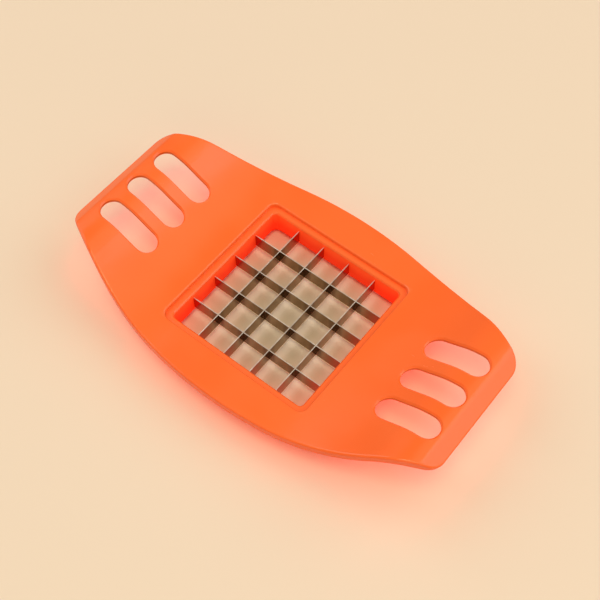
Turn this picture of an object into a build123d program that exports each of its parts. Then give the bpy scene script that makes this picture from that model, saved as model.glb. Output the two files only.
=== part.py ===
from build123d import *
import os

# Press-down potato cutter for french fries: a winged plastic frame round a square window,
# a grid of half-lapped steel blades in the window, and a ring snapped on from below that
# keeps the blades in their slits.
# Millimetres, +Z up.  The origin is the centre of the ring's underside, on the table.
# X runs along the wings, Y across them.

# ---- driving dimensions ---------------------------------------------------------------------

# blade grid
CELLS = 5                      # fries each way
CELL_OPENING = 13.6            # clear width of one fry
BLADE_THICKNESS = 0.4
BLADE_HEIGHT = 8.6
BLADE_BEVEL = 1.2              # height of the ground cutting edge, on the underside
BLADE_LAND = 0.08              # flat left at the cutting edge
BLADE_END_PLAY = 0.1           # blade end to the outside of the collar
LAP_PLAY = 0.1                 # in the half laps
SLIT_PLAY = 0.15               # sideways, of a blade end in its slit

# levels
EDGE_ABOVE_TABLE = 3.6         # the cutting edges stay this far off the table
LEDGE_ABOVE_BLADES = 3.0
LEDGE_DROP = 2.0               # window ledge below the frame's top

# frame, seen from above
SIDE_LAND = 16.8               # ledge to the middle of the bowed side
WING_LENGTH = 58.3             # ledge to the end of the wing
END_HALF_WIDTH = 28.9          # half the width at the wing's end, before the corner
CORNER_RADIUS = 8.5
LEDGE_WIDTH = 2.9
LEDGE_CORNER = 3.6
WINDOW_CORNER = 2.0

# frame, seen from the side: level middle, hollow rise, straight ramp, crest, end lip
RISE_RADIUS = 84.0
RISE_ANGLE = 27.0
RAMP_LENGTH = 6.0
CREST_RADIUS = 26.0
CREST_FALL = 5.0               # slope past the crest, degrees
CREST_LENGTH = 1.0             # straight stretch past the crest
CREASE_RADIUS = 5.0
LIP_ANGLE = 34.0               # slope of the end lip, degrees
LIP_LENGTH = 5.9

# frame walls
WALL = 2.0                     # skin and skirt
SKIRT_DEPTH = 4.2              # of the rim that runs round the edge
COLLAR_WALL = 2.0
RIB_WALL = 1.6
RIB_DEPTH = 3.9                # from the top of the skin
SIDE_RIB_SPACING = 42.0

# frame edges
OUTER_ROUND = 0.9
STEP_ROUND = 0.9               # top of the step down to the ledge
RIM_BREAK = 0.6                # chamfer on the rim of the window

# finger slots
SLOTS = 3
SLOT_PITCH = 17.2
SLOT_WIDTH = 10.6
SLOT_LENGTH = 28.5
SLOT_TO_END = 7.8
SLOT_BREAK = 0.7               # chamfer on the top edge

# retaining ring
RING_WALL = 2.4
RING_PLAY = 0.1                # round the collar
RING_TOP_GAP = 0.8             # ring to the underside of the ledge
RING_BREAK = 0.6               # chamfer on the outer edges
SHELF_THICKNESS = 2.0          # shelf under the collar and the blade ends
SHELF_REACH = 1.0

# snap catches, one on each side of the collar
CATCH_WIDTH = 9.0
CATCH_HEIGHT = 1.8
CATCH_DEPTH = 0.9
CATCH_LAND = 0.4               # upright face at the tip
CATCH_LIFT = 2.6               # above the collar's bottom
CATCH_PLAY = 0.15

MARGIN = 5.0                   # how far a cutter runs past what it cuts

# ---- derived sizes --------------------------------------------------------------------------

BLADES = CELLS - 1
BLADE_PITCH = CELL_OPENING + BLADE_THICKNESS
BLADE_PLACES = [BLADE_PITCH * (i - (BLADES - 1) / 2) for i in range(BLADES)]
WINDOW_HALF = (CELLS * CELL_OPENING + BLADES * BLADE_THICKNESS) / 2
LEDGE_HALF = WINDOW_HALF + LEDGE_WIDTH
COLLAR_HALF = WINDOW_HALF + COLLAR_WALL
COLLAR_CORNER = WINDOW_CORNER + COLLAR_WALL

HALF_LENGTH = LEDGE_HALF + WING_LENGTH
HALF_WIDTH = LEDGE_HALF + SIDE_LAND
SLOT_X = HALF_LENGTH - SLOT_TO_END - SLOT_LENGTH / 2

BLADE_BOTTOM = EDGE_ABOVE_TABLE
BLADE_TOP = BLADE_BOTTOM + BLADE_HEIGHT
BLADE_MIDDLE = BLADE_BOTTOM + BLADE_HEIGHT / 2
LEDGE_Z = BLADE_TOP + LEDGE_ABOVE_BLADES
LEDGE_UNDERSIDE = LEDGE_Z - WALL
PLATE_TOP = LEDGE_Z + LEDGE_DROP
SKY = PLATE_TOP + WING_LENGTH   # above everything

CATCH_PLACE = BLADE_PLACES[BLADES // 2 - 1] + BLADE_PITCH / 2
CATCH_BOTTOM = BLADE_BOTTOM + CATCH_LIFT
CATCH_TOP = CATCH_BOTTOM + CATCH_HEIGHT

RING_INNER = COLLAR_HALF + RING_PLAY
RING_OUTER = RING_INNER + RING_WALL
RING_CORNER = COLLAR_CORNER + RING_PLAY
RING_HEIGHT = LEDGE_UNDERSIDE - RING_TOP_GAP


# ---- helpers --------------------------------------------------------------------------------

def block(x, y, z):
    """A box, from its lowest and highest value along each axis."""
    middle = Pos((x[0] + x[1]) / 2, (y[0] + y[1]) / 2, (z[0] + z[1]) / 2)
    return middle * Box(x[1] - x[0], y[1] - y[0], z[1] - z[0])


def post(half, corner, bottom, top):
    """A square post with rounded corners, centred on the origin."""
    section = RectangleRounded(2 * half, 2 * half, corner)
    return Pos(0, 0, bottom) * extrude(section, top - bottom)


def all_sides(shape):
    """The shape, repeated on the four sides of the window."""
    return [Rot(0, 0, 90 * turn) * shape for turn in range(4)]


# ---- frame ----------------------------------------------------------------------------------

def side_profile(with_lip=True):
    """Everything under the frame's top line, as a face in X and height.

    Without the lip the line runs straight on past the crest, and the skirt ends along it.
    """
    rise = JernArc((0, PLATE_TOP), (1, 0), RISE_RADIUS, RISE_ANGLE)
    ramp = Line(rise @ 1, rise @ 1 + (rise % 1) * RAMP_LENGTH)
    crest = JernArc(ramp @ 1, ramp % 1, CREST_RADIUS, -RISE_ANGLE - CREST_FALL)
    back = Line(crest @ 1, crest @ 1 + (crest % 1) * CREST_LENGTH)
    crease = JernArc(back @ 1, back % 1, CREASE_RADIUS, CREST_FALL - LIP_ANGLE)
    wing_end = crease @ 1 + (crease % 1) * LIP_LENGTH
    level_half = HALF_LENGTH - wing_end.X

    if with_lip:
        ending = [crease, Line(crease @ 1, wing_end + (crease % 1) * MARGIN)]
    else:
        reach = wing_end.X - (back @ 1).X + MARGIN
        ending = [Line(back @ 1, back @ 1 + (back % 1) * reach)]

    tip = ending[-1] @ 1
    far = level_half + tip.X
    right = Pos(level_half, 0) * Curve([rise, ramp, crest, back] + ending)
    left = mirror(right, Plane.YZ)
    level = Line((-level_half, PLATE_TOP), (level_half, PLATE_TOP))
    closing = Polyline((far, tip.Y), (far, -MARGIN), (-far, -MARGIN), (-far, tip.Y))
    return make_face([level] + right.edges() + left.edges() + closing.edges())


def outline():
    """The frame from above: bowed sides, straight ends, rounded corners."""
    corner = (HALF_LENGTH, END_HALF_WIDTH)
    bow = ThreePointArc((-HALF_LENGTH, END_HALF_WIDTH), (0, HALF_WIDTH), corner)
    end = Line(corner, (HALF_LENGTH, -END_HALF_WIDTH))
    plan = make_face([bow, end, mirror(bow, Plane.XZ), mirror(end, Plane.YZ)])
    return fillet(plan.vertices(), CORNER_RADIUS)


def finger_slots():
    """The cutters of the finger slots, in both wings."""
    slot = extrude(SlotOverall(SLOT_LENGTH, SLOT_WIDTH), SKY - PLATE_TOP + SKIRT_DEPTH)
    places = [SLOT_PITCH * (i - (SLOTS - 1) / 2) for i in range(SLOTS)]
    floor = PLATE_TOP - SKIRT_DEPTH
    return [Pos(side * SLOT_X, place, floor) * slot for side in (-1, 1) for place in places]


def ribs():
    """Stiffeners on the hidden side: between the finger slots, and out to the bowed sides."""
    webs = [SLOT_PITCH * (i - (SLOTS - 2) / 2) for i in range(SLOTS - 1)]
    height = (BLADE_BOTTOM, SKY)
    run = (LEDGE_HALF, HALF_LENGTH - WALL / 2)
    along = [block(run, (web - RIB_WALL / 2, web + RIB_WALL / 2), height) for web in webs]
    x = SIDE_RIB_SPACING / 2
    reach = (LEDGE_HALF, HALF_WIDTH)
    across = block((x - RIB_WALL / 2, x + RIB_WALL / 2), reach, height)
    one_wing = along + [across, mirror(across, Plane.XZ)]
    return one_wing + [mirror(rib, Plane.YZ) for rib in one_wing]


def catches():
    """Snap catches on the collar: flat on top, sloped below, where the ring comes from."""
    root = COLLAR_HALF - COLLAR_WALL / 2
    tip = COLLAR_HALF + CATCH_DEPTH
    points = [
        (root, CATCH_BOTTOM),
        (COLLAR_HALF, CATCH_BOTTOM),
        (tip, CATCH_TOP - CATCH_LAND),
        (tip, CATCH_TOP),
        (root, CATCH_TOP),
    ]
    section = Plane.XZ * make_face(Polyline(*points, close=True))
    catch = extrude(section, CATCH_WIDTH / 2, both=True)
    return all_sides(Pos(0, CATCH_PLACE, 0) * catch)


def slits():
    """The downward-open slits that take the blade ends."""
    reach = (-COLLAR_HALF - CATCH_DEPTH, COLLAR_HALF + CATCH_DEPTH)
    half = (BLADE_THICKNESS + SLIT_PLAY) / 2
    height = (BLADE_BOTTOM - MARGIN, BLADE_TOP)
    lengthwise = [block(reach, (place - half, place + half), height) for place in BLADE_PLACES]
    return lengthwise + [Rot(0, 0, 90) * slit for slit in lengthwise]


def under(side, drop=0):
    """All the space under a side profile, lowered by the given drop."""
    space = extrude(Plane.XZ * side, HALF_WIDTH + MARGIN, both=True)
    return Pos(0, 0, -drop) * space


def make_frame():
    """The moulding: a deep blank with soft edges, hollowed out below but for its collar."""
    top = side_profile()
    straight = side_profile(with_lip=False)
    plan = Pos(0, 0, BLADE_BOTTOM) * extrude(outline(), SKY - BLADE_BOTTOM)
    blank = under(top) & plan
    blank = fillet(new_edges(under(top), plan, combined=blank), OUTER_ROUND)

    step = post(LEDGE_HALF, LEDGE_CORNER, LEDGE_Z, SKY)
    stepped = blank - step
    stepped = fillet(new_edges(blank, step, combined=stepped), STEP_ROUND)

    slots = finger_slots()
    slotted = stepped - slots
    slotted = chamfer(new_edges(stepped, *slots, combined=slotted), SLOT_BREAK)

    inside = Pos(0, 0, BLADE_BOTTOM - MARGIN) * extrude(offset(outline(), -WALL), SKY)
    hollow = under(straight, SKIRT_DEPTH) + (under(top, WALL) & inside)
    collar = post(COLLAR_HALF, COLLAR_CORNER, BLADE_BOTTOM, LEDGE_Z)
    ledge = post(LEDGE_HALF + WALL, LEDGE_CORNER + WALL, LEDGE_UNDERSIDE, SKY)
    kept = collar + ledge + [rib - under(straight, RIB_DEPTH) for rib in ribs()]
    frame = slotted - (hollow - kept)

    frame -= post(WINDOW_HALF, WINDOW_CORNER, BLADE_BOTTOM - MARGIN, SKY)
    rim = frame.faces().filter_by(Plane.XY).sort_by(lambda face: abs(face.center().Z - LEDGE_Z))
    frame = chamfer(rim[0].inner_wires()[0].edges(), RIM_BREAK)
    return frame + catches() - slits()


# ---- retaining ring -------------------------------------------------------------------------

def make_ring():
    """The square ring below, with a shelf inside and a window for each snap catch."""
    ring = post(RING_OUTER, RING_CORNER + RING_WALL, 0, RING_HEIGHT)
    ring = chamfer(ring.edges().filter_by(Axis.Z, reverse=True), RING_BREAK)
    ring -= post(RING_INNER, RING_CORNER, BLADE_BOTTOM, RING_HEIGHT + MARGIN)
    ring -= post(RING_INNER - SHELF_REACH, RING_CORNER, -MARGIN, RING_HEIGHT + MARGIN)
    ring -= post(RING_INNER, RING_CORNER, -MARGIN, BLADE_BOTTOM - SHELF_THICKNESS)
    window = block(
        (RING_INNER - SHELF_REACH / 2, RING_OUTER + MARGIN),
        (CATCH_PLACE - CATCH_WIDTH / 2 - CATCH_PLAY, CATCH_PLACE + CATCH_WIDTH / 2 + CATCH_PLAY),
        (CATCH_BOTTOM - CATCH_PLAY, CATCH_TOP + CATCH_PLAY),
    )
    return ring - all_sides(window)


# ---- blades ---------------------------------------------------------------------------------

def make_blade(lap_height):
    """A steel strip along X, ground to an edge below, with a half lap at each crossing."""
    half = BLADE_THICKNESS / 2
    points = [
        (-half, BLADE_TOP),
        (-half, BLADE_BOTTOM + BLADE_BEVEL),
        (-BLADE_LAND / 2, BLADE_BOTTOM),
        (BLADE_LAND / 2, BLADE_BOTTOM),
        (half, BLADE_BOTTOM + BLADE_BEVEL),
        (half, BLADE_TOP),
    ]
    section = Plane.YZ * make_face(Polyline(*points, close=True))
    strip = extrude(section, COLLAR_HALF - BLADE_END_PLAY, both=True)
    lap = (BLADE_THICKNESS + LAP_PLAY) / 2
    thick = (-BLADE_THICKNESS, BLADE_THICKNESS)
    return strip - [block((place - lap, place + lap), thick, lap_height) for place in BLADE_PLACES]


# ---- output ---------------------------------------------------------------------------------

pieces = {"frame": make_frame(), "retaining_ring": make_ring()}
lengthwise_blade = make_blade(lap_height=(BLADE_MIDDLE, BLADE_TOP + MARGIN))
crosswise_blade = Rot(0, 0, 90) * make_blade(lap_height=(BLADE_BOTTOM - MARGIN, BLADE_MIDDLE))
for number, place in enumerate(BLADE_PLACES, start=1):
    pieces[f"blade_lengthwise_{number}"] = Pos(0, place, 0) * lengthwise_blade
    pieces[f"blade_crosswise_{number}"] = Pos(place, 0, 0) * crosswise_blade

os.makedirs("parts", exist_ok=True)
for name, piece in pieces.items():
    export_step(piece, f"parts/{name}.step")
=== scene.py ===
import math

import bpy
from mathutils import Matrix, Vector

# French fry cutter: a glossy orange moulding with a grid of thin steel blades in its window.
# Metres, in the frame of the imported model: +Z up, X along the wings.

MM = 0.001

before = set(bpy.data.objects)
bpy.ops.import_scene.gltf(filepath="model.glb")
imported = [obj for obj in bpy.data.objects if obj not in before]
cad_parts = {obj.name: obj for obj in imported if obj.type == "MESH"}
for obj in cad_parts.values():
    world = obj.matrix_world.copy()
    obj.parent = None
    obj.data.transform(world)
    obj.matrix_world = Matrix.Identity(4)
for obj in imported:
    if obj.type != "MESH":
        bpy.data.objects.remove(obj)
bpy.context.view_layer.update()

LEDGE_Z = 15.2 * MM             # window ledge above the table
PLATE_Z = 17.2 * MM             # level middle of the frame

# ---- camera ---------------------------------------------------------------------------------

CAMERA_AIM = Vector((3.7 * MM, 4.1 * MM, PLATE_Z))
CAMERA_AZIMUTH = math.radians(37.63)
CAMERA_ELEVATION = math.radians(58.0)
CAMERA_ROLL = math.radians(0.74)
CAMERA_DISTANCE = 481 * MM
LENS = 67.74
SENSOR = 36


def add_camera():
    data = bpy.data.cameras.new("camera")
    data.lens = LENS
    data.sensor_width = SENSOR
    camera = bpy.data.objects.new("camera", data)
    bpy.context.scene.collection.objects.link(camera)
    turn = Matrix.Rotation(CAMERA_AZIMUTH, 4, "Z")
    turn @= Matrix.Rotation(math.pi / 2 - CAMERA_ELEVATION, 4, "X")
    turn @= Matrix.Rotation(CAMERA_ROLL, 4, "Z")
    back = Matrix.Translation((0, 0, CAMERA_DISTANCE))
    camera.matrix_world = Matrix.Translation(CAMERA_AIM) @ turn @ back
    bpy.context.scene.camera = camera


# ---- lights ---------------------------------------------------------------------------------

WORLD_LEVEL = 0.36
WORLD_TONE = (1, 0.96, 0.80)

WINDOW_TONE = (1, 1, 0.98)
LAMP_TONE = (1, 1, 0.62)
LAMP_DISTANCE = 3.0
LAMPS = (                       # name, azimuth, elevation, width, height, radiance, tone
    ("window", 40, 41, 3.5, 2.1, 1.55, WINDOW_TONE),
    ("overhead", -58, 74, 1.3, 1.15, 5.0, LAMP_TONE),
    ("back", -170, 45, 2.75, 2.25, 1.5, WINDOW_TONE),
    ("far", 60, 66, 1.75, 1.25, 0.80, LAMP_TONE),
    ("front", -50, 22, 3.0, 2.0, 0.9, LAMP_TONE),
)

GLOW_LEVEL = 1.02
GLOW_TONE = (1, 0.03, 0.0)
GLOW_Z = 12.6 * MM              # just under the frame's skin
WING_GLOW = (68 * MM, 50 * MM, 74 * MM)     # distance from the middle, length and width
SIDE_GLOW = (47 * MM, 90 * MM, 10 * MM)


def direction(azimuth, elevation):
    """Unit vector, with the azimuth in degrees from +X towards +Y."""
    a, e = math.radians(azimuth), math.radians(elevation)
    return Vector((math.cos(a) * math.cos(e), math.sin(a) * math.cos(e), math.sin(e)))


def area_lamp(name, width, height, radiance, tone):
    """A rectangular lamp that the camera doesn't see; radiance 1 mirrors as white."""
    data = bpy.data.lights.new(name, "AREA")
    data.shape = "RECTANGLE"
    data.size = width
    data.size_y = height
    data.energy = radiance * math.pi * width * height
    data.color = tone
    lamp = bpy.data.objects.new(name, data)
    bpy.context.scene.collection.objects.link(lamp)
    lamp.visible_camera = False
    return lamp


def add_softbox(name, azimuth, elevation, width, height, radiance, tone):
    """A large lamp that faces the object."""
    lamp = area_lamp(name, width, height, radiance, tone)
    towards = direction(azimuth, elevation)
    lamp.location = Vector((0, 0, PLATE_Z)) + towards * LAMP_DISTANCE
    lamp.rotation_euler = towards.to_track_quat("Z", "Y").to_euler()


def add_glow(name, x, y, length, width):
    """Light that the frame's skin lets through, down onto the table."""
    lamp = area_lamp(name, length, width, GLOW_LEVEL, GLOW_TONE)
    lamp.location = (x, y, GLOW_Z)
    lamp.visible_glossy = False


def add_lights():
    for side, name in ((-1, "left"), (1, "right")):
        away, length, width = WING_GLOW
        add_glow("wing_" + name, side * away, 0, length, width)
        away, length, width = SIDE_GLOW
        add_glow("side_" + name, 0, side * away, length, width)
    for lamp in LAMPS:
        add_softbox(*lamp)


def add_world():
    world = bpy.data.worlds.new("studio")
    bpy.context.scene.world = world
    world.use_nodes = True
    background = world.node_tree.nodes["Background"]
    background.inputs["Color"].default_value = (*WORLD_TONE, 1)
    background.inputs["Strength"].default_value = WORLD_LEVEL


# ---- materials ------------------------------------------------------------------------------

class Nodes:
    """A material's node tree, with short ways to add and join nodes."""

    def __init__(self, name):
        self.material = bpy.data.materials.new(name)
        self.material.use_nodes = True
        self.tree = self.material.node_tree
        self.shader = self.tree.nodes["Principled BSDF"]
        self.place = self.add("TexCoord").outputs["Object"]

    def add(self, kind, **inputs):
        node = self.tree.nodes.new("ShaderNode" + kind)
        for name, value in inputs.items():
            self.feed(node.inputs[name], value)
        return node

    def feed(self, socket, value):
        if isinstance(value, bpy.types.NodeSocket):
            self.tree.links.new(value, socket)
        else:
            socket.default_value = value

    def finish(self, **inputs):
        """Feed the shader's sockets; an underscore in a name stands for a space."""
        for name, value in inputs.items():
            self.feed(self.shader.inputs[name.replace("_", " ")], value)

    def math(self, operation, first, second=0.0):
        """The result of an operation, held between 0 and 1."""
        node = self.tree.nodes.new("ShaderNodeMath")
        node.operation = operation
        node.use_clamp = True
        self.feed(node.inputs[0], first)
        self.feed(node.inputs[1], second)
        return node.outputs["Value"]

    def both(self, first, second):
        return self.math("MULTIPLY", first, second)

    def away(self, coordinate):
        """Distance from the middle along one axis."""
        return self.math("ABSOLUTE", coordinate)

    def outwards(self, x, y):
        """Distance from the middle along the axis on which it is the larger."""
        return self.math("MAXIMUM", self.away(x), self.away(y))

    def axes(self, vector):
        """The three coordinates of a vector."""
        parts = self.add("SeparateXYZ", Vector=vector)
        return parts.outputs["X"], parts.outputs["Y"], parts.outputs["Z"]

    def upwards(self):
        """1 on a face that looks up, 0 on an upright one and -1 on one that looks down."""
        return self.axes(self.add("NewGeometry").outputs["True Normal"])[2]

    def stretched(self, x, y, z):
        """The object's coordinates, times a factor along each axis."""
        return self.add("Mapping", Vector=self.place, Scale=(x, y, z)).outputs["Vector"]

    def noise(self, size, vector=None, detail=2.0, rough=0.5):
        """Noise with patches of about the given size, in metres."""
        where = self.place if vector is None else vector
        node = self.add("TexNoise", Vector=where, Scale=1 / size, Detail=detail, Roughness=rough)
        return node.outputs["Fac"]

    def fade(self, value, low, high, at_low=0.0, at_high=1.0):
        """A smooth step of the value, from one end to the other."""
        node = self.tree.nodes.new("ShaderNodeMapRange")
        node.interpolation_type = "SMOOTHSTEP"
        self.feed(node.inputs["Value"], value)
        self.feed(node.inputs["From Min"], low)
        self.feed(node.inputs["From Max"], high)
        self.feed(node.inputs["To Min"], at_low)
        self.feed(node.inputs["To Max"], at_high)
        return node.outputs["Result"]

    def up_to(self, value, reach, soft):
        """1 where the value is below the reach, falling to 0 over the soft stretch above it."""
        return self.fade(value, reach, reach + soft, 1.0, 0.0)

    def mix(self, factor, first, second):
        """A blend of two colours."""
        node = self.tree.nodes.new("ShaderNodeMix")
        node.data_type = "RGBA"
        self.feed(node.inputs["Factor"], factor)
        self.feed(node.inputs["A"], first)
        self.feed(node.inputs["B"], second)
        return node.outputs["Result"]

    def bump(self, height, depth, below=None):
        """Relief of the given depth, in metres, on top of another relief."""
        node = self.add("Bump", Height=height, Distance=depth, Strength=1.0)
        if below is not None:
            self.feed(node.inputs["Normal"], below)
        return node.outputs["Normal"]


PLASTIC = (1.0, 0.133, 0.0165, 1)
PLASTIC_PALE = (1.0, 0.143, 0.0215, 1)
PLASTIC_LEDGE_LIT = (1.0, 0.148, 0.027, 1)      # painted light: paler on the ledge round the window, where the step shades it
PLASTIC_STEEP_SHADE = (0.95, 0.104, 0.003, 1)      # painted shade: deeper on the steep faces
PLASTIC_SLOT_SHADE = (0.60, 0.100, 0.004, 1)      # painted shade: darker on those of the finger slots
PLASTIC_LOW_SHADE = (1.0, 0.035, 0.001, 1)    # painted shade: deeper and redder low inside the window
UNLIT = (0, 0, 0, 1)
SKIN_GLOW = (0.37, 0.011, 0, 1)             # painted glow: emission on the window's thin walls, standing in for light that comes through them
SKIN_GLOW_TOP = 5 * MM                      # height from which it is at its full strength
SKIN_GLOW_AT_TABLE = 0.4                    # share of it at the table

SLOTS_REACH = 24 * MM                       # just outside the outer slots
SLOTS_END = 89.5 * MM                       # just outside their outer ends
STEP_REACH = 41 * MM                        # just outside the step round the window
LEDGE_REACH = 38 * MM                       # just outside the ledge below it
WINDOW_REACH = 37.2 * MM                    # just outside the walls round the window

CLOUD_SIZE = 30 * MM
SCUFF_SIZE = 2.2 * MM
SKIN_SIZE, SKIN_DEPTH = 0.55 * MM, 0.003 * MM
WAVE_SIZE, WAVE_DEPTH = 9 * MM, 0.04 * MM
GLOSSIEST, DULLEST = 0.2, 0.34              # roughness
WALLS_ROUGHNESS = 0.8


def plastic_color(m, walls, clouds):
    """The moulding's colour: cloudy, with painted light making the ledge paler and painted shade
    deepening the steep faces, the slot walls and the low part of the window.
    """
    x, y, z = m.axes(m.place)
    outwards = m.outwards(x, y)
    upwards = m.upwards()
    color = m.mix(clouds, PLASTIC, PLASTIC_PALE)

    off_step = m.fade(outwards, STEP_REACH, STEP_REACH + 1 * MM)
    steep = m.both(m.fade(upwards, 0.25, 0.75, 1.0, 0.0), off_step)
    in_slots = m.both(
        m.up_to(m.away(y), SLOTS_REACH, 2 * MM),
        m.up_to(m.away(x), SLOTS_END, 1 * MM),
    )
    in_slots = m.both(in_slots, m.fade(upwards, -0.6, -0.3))
    # Painted shade: deeper colour on the steep faces, darker still on the slot walls.
    color = m.mix(steep, color, m.mix(in_slots, PLASTIC_STEEP_SHADE, PLASTIC_SLOT_SHADE))

    # Painted shade: a deeper, redder colour low inside the window.
    depth = m.up_to(z, LEDGE_Z - 10 * MM, 13 * MM)
    color = m.mix(m.both(walls, depth), color, PLASTIC_LOW_SHADE)

    # Painted light: the ledge is made paler where the step shades it.
    on_ledge = m.both(
        m.up_to(outwards, LEDGE_REACH, 0.6 * MM),
        m.fade(z, LEDGE_Z - 0.6 * MM, LEDGE_Z - 0.3 * MM),
    )
    return m.mix(on_ledge, color, PLASTIC_LEDGE_LIT)


def orange_plastic():
    m = Nodes("orange_plastic")
    x, y, z = m.axes(m.place)
    walls = m.both(
        m.up_to(m.outwards(x, y), WINDOW_REACH, 0.3 * MM),
        m.up_to(z, LEDGE_Z - 1.5 * MM, 1.2 * MM),
    )
    clouds = m.fade(m.noise(CLOUD_SIZE, detail=1.0), 0.35, 0.65)
    along_wings = m.stretched(0.25, 1.0, 1.0)
    scuffs = m.fade(m.noise(SCUFF_SIZE, along_wings, detail=4.0, rough=0.6), 0.5, 0.85)
    wear = m.math("ADD", m.both(scuffs, 0.12), m.both(clouds, 0.45))
    roughness = m.fade(wear, 0.0, 1.0, GLOSSIEST, DULLEST)
    skin = m.bump(m.noise(SKIN_SIZE, detail=3.0), SKIN_DEPTH)
    glow = m.both(walls, m.fade(z, 0, SKIN_GLOW_TOP, SKIN_GLOW_AT_TABLE, 1.0))
    m.finish(
        Base_Color=plastic_color(m, walls, clouds),
        Roughness=m.fade(walls, 0.0, 1.0, roughness, WALLS_ROUGHNESS),
        Normal=m.bump(m.noise(WAVE_SIZE, detail=1.0), WAVE_DEPTH, below=skin),
        Emission_Color=m.mix(glow, UNLIT, SKIN_GLOW),
        Emission_Strength=1.0,
    )
    return m.material


# Dark bronze on the blades' faces: painted shade, darker than bare steel, as mirrored shade from
# a shaded table.
STEEL = (0.272, 0.172, 0.086, 1)
STEEL_PALE = (0.318, 0.216, 0.126, 1)
STEEL_SHEARED_HIGHLIGHT = (0.95, 0.80, 0.74, 1)       # top edges, sheared and brightened as a painted highlight
STEEL_GROUND_HIGHLIGHT = (0.95, 0.84, 0.70, 1)        # cutting edges, ground and brightened as a painted highlight
STEEL_LAP_SHADE = (0.19, 0.105, 0.05, 1)      # painted shade in the laps at the crossings
STEEL_RED_REFLECTION = (0.50, 0.075, 0.03, 1)      # painted reflection of the red walls on the blades' ends
GROUND_TOP = 4.8 * MM                       # of the bright line along the cutting edge
BLADE_PITCH = 14 * MM
LAST_BLADE = 24 * MM                        # just past the outermost blades
LAP_SHADE_CORE, LAP_SHADE_EDGE = 2.2 * MM, 4.2 * MM     # distance from the crossing
RED_REFLECTION_START, RED_REFLECTION_FULL = 23 * MM, 34 * MM      # distance from the middle

STREAK_SIZE, STREAK_DEPTH = 0.35 * MM, 0.0012 * MM
SMEAR_SIZE = 6 * MM
POLISHED, SMEARED = 0.02, 0.09              # roughness
CUT_ROUGHNESS = 0.4


def from_blade(m, coordinate):
    """How far the coordinate is from the nearest blade across it."""
    half = BLADE_PITCH / 2
    node = m.tree.nodes.new("ShaderNodeMath")
    node.operation = "PINGPONG"
    m.feed(node.inputs[0], m.add("MapRange", **{
        "Value": coordinate, "From Min": -1.0, "From Max": 1.0,
        "To Min": -1.0 - half, "To Max": 1.0 - half,
    }).outputs["Result"])
    m.feed(node.inputs[1], half)
    return node.outputs["Value"]


def steel_color(m, shine, smears, sheared, ground):
    """The blades' colour: painted shade in the laps, a painted red reflection at the ends, and
    bright sheared and ground edges with a painted highlight.
    """
    x, y, z = m.axes(m.place)
    outwards = m.outwards(x, y)
    apart = m.math("MAXIMUM", from_blade(m, x), from_blade(m, y))
    # Painted shade in the laps at the crossings.
    shaded_laps = m.both(
        m.fade(apart, LAP_SHADE_CORE, LAP_SHADE_EDGE, 1.0, 0.0),
        m.up_to(outwards, LAST_BLADE, 2 * MM),
    )
    color = m.mix(shine, STEEL, STEEL_PALE)
    # Painted reflection: the red walls mirrored on the blades towards their ends.
    color = m.mix(m.fade(outwards, RED_REFLECTION_START, RED_REFLECTION_FULL), color, STEEL_RED_REFLECTION)
    color = m.mix(shaded_laps, color, STEEL_LAP_SHADE)
    color = m.mix(m.both(sheared, m.fade(smears, 0.0, 1.0, 0.7, 1.0)), color, STEEL_SHEARED_HIGHLIGHT)
    return m.mix(ground, color, STEEL_GROUND_HIGHLIGHT)


def steel():
    m = Nodes("steel")
    z = m.axes(m.place)[2]
    sheared = m.fade(m.upwards(), 0.6, 0.9)
    ground = m.fade(z, GROUND_TOP - 0.1 * MM, GROUND_TOP, 1.0, 0.0)
    streaks = m.noise(STREAK_SIZE, m.stretched(0.02, 0.02, 1.0), detail=4.0, rough=0.6)
    smears = m.fade(m.noise(SMEAR_SIZE, detail=3.0), 0.4, 0.7)
    shine = m.math("ADD", m.both(streaks, 0.6), m.both(smears, 0.4))
    polish = m.fade(shine, 0.1, 1.0, POLISHED, SMEARED)
    edges = m.math("MAXIMUM", sheared, ground)
    m.finish(
        Base_Color=steel_color(m, shine, smears, sheared, ground),
        Metallic=1.0,
        Roughness=m.fade(edges, 0.0, 1.0, polish, CUT_ROUGHNESS),
        Normal=m.bump(streaks, STREAK_DEPTH),
    )
    return m.material


TABLE_COLOR = (0.82, 0.635, 0.53, 1)
TABLE_ROUGHNESS = 0.7


def table_top():
    m = Nodes("table_top")
    m.finish(Base_Color=TABLE_COLOR, Roughness=TABLE_ROUGHNESS)
    return m.material


# ---- scene ----------------------------------------------------------------------------------

FLOOR_SIZE = 4.0


def add_floor():
    bpy.ops.mesh.primitive_plane_add(size=FLOOR_SIZE)
    floor = bpy.context.object
    floor.name = "floor"
    floor.data.materials.append(table_top())


def dress_nodes():
    plastic_finish, steel_finish = orange_plastic(), steel()
    for name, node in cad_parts.items():
        node.data.materials.clear()
        node.data.materials.append(steel_finish if name.startswith("blade") else plastic_finish)


dress_nodes()
add_floor()
add_world()
add_lights()
add_camera()
bpy.context.scene.view_settings.view_transform = "Standard"
